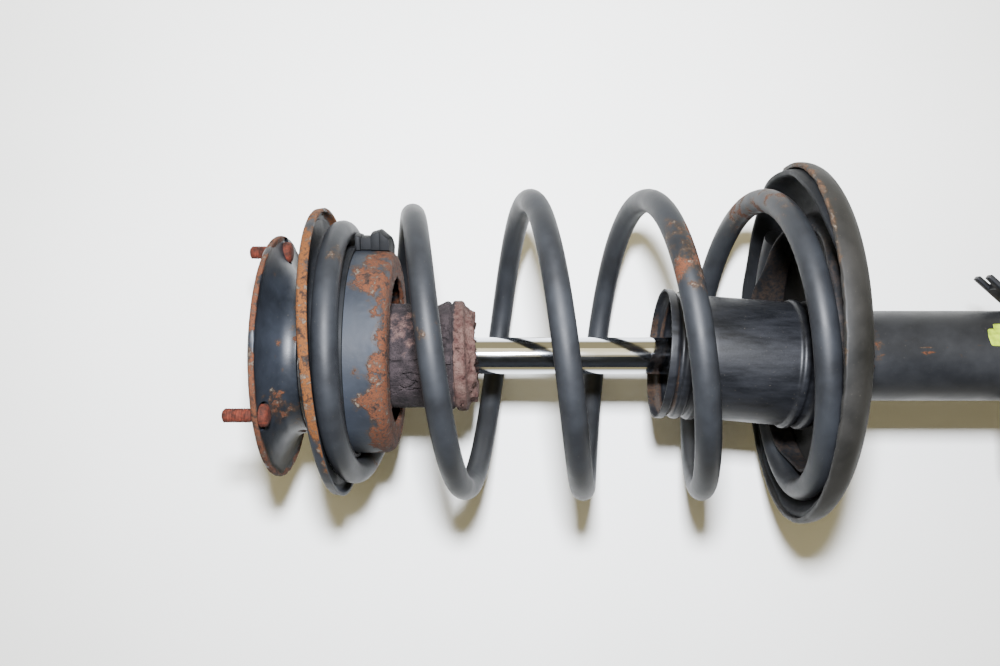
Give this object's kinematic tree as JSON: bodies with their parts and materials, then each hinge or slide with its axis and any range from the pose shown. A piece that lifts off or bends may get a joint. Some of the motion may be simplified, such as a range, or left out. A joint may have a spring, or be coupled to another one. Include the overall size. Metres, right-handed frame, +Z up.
{
  "type": "strut assembly",
  "caption": "Front suspension strut with top mount, steering bearing, coil spring, bump stop, dust tube, damper and lower knuckle bracket.",
  "frame": {"origin": "on the floor under the middle of the strut, which lies on its lower spring seat", "axes": "+X along the rod axis from the top mount to the knuckle bracket, +Z up, +Y toward the bracket's ears"},
  "size_m": [0.58, 0.2134, 0.2133],
  "materials": {
    "painted_pressing": "dark grey paint with red-brown rust at the edges",
    "rusted_steel": "rusted plain steel",
    "rubber": "dull black rubber",
    "bare_steel": "machined steel",
    "chrome": "polished hard chrome",
    "foam": "crumbling polyurethane foam",
    "bronze": "bearing bronze",
    "black_plastic": "black moulded plastic with dust",
    "painted_spring": "dark grey paint with rust patches",
    "black_paint": "satin black paint with scuffs"
  },
  "bodies": {
    "top_mount": {"mount_plate": "painted_pressing", "mount_stud_1": "rusted_steel", "mount_stud_2": "rusted_steel", "mount_stud_3": "rusted_steel", "mount_rubber": "rubber", "mount_sleeve": "bare_steel", "rod_washer": "rusted_steel", "rod_nut": "rusted_steel", "bearing_upper_race": "bare_steel", "piston_rod": "chrome", "bump_stop": "foam", "rebound_stop": "bare_steel", "piston": "bare_steel", "piston_band": "bronze", "piston_nut": "bare_steel"},
    "bearing_cage": {"bearing_cage": "black_plastic", "bearing_ball_01": "bare_steel", "bearing_ball_02": "bare_steel", "bearing_ball_03": "bare_steel", "bearing_ball_04": "bare_steel", "bearing_ball_05": "bare_steel", "bearing_ball_06": "bare_steel", "bearing_ball_07": "bare_steel", "bearing_ball_08": "bare_steel", "bearing_ball_09": "bare_steel", "bearing_ball_10": "bare_steel"},
    "upper_seat": {"bearing_lower_race": "bare_steel", "upper_spring_seat": "painted_pressing", "spring_hub": "painted_pressing", "upper_spring_pad": "rubber", "coil_spring": "painted_spring"},
    "damper_body": {"damper_tube": "black_paint", "tube_end_cap": "black_paint", "bump_cap": "bare_steel", "rod_guide": "bare_steel", "guide_bush": "bronze", "rod_seal": "rubber", "pressure_tube": "bare_steel", "base_valve": "bare_steel", "lower_spring_seat": "painted_pressing", "lower_spring_pad": "rubber", "dust_tube": "black_plastic", "knuckle_bracket": "black_paint", "hose_bracket": "black_paint", "link_bracket": "black_paint"}
  },
  "joints": [
    {"name": "steering", "type": "hinge", "parent": "top_mount", "child": "upper_seat", "pos_m": [0, -0.008, 0.10667], "axis": [1, 0, 0], "range_deg": [-45, 45]},
    {"name": "cage_turn", "type": "hinge", "parent": "top_mount", "child": "bearing_cage", "pos_m": [0, -0.008, 0.10667], "axis": [1, 0, 0], "range_deg": [-23, 23]},
    {"name": "compression", "type": "slide", "parent": "upper_seat", "child": "damper_body", "axis": [-1, 0, 0], "range_m": [0, 0.15], "stiffness_N_per_m": 25000, "springref_m": -0.03, "deforming": ["coil_spring", "bump_stop"]}
  ],
  "couplings": [
    {"joint": "cage_turn", "follows": "steering", "ratio": 0.5}
  ]
}
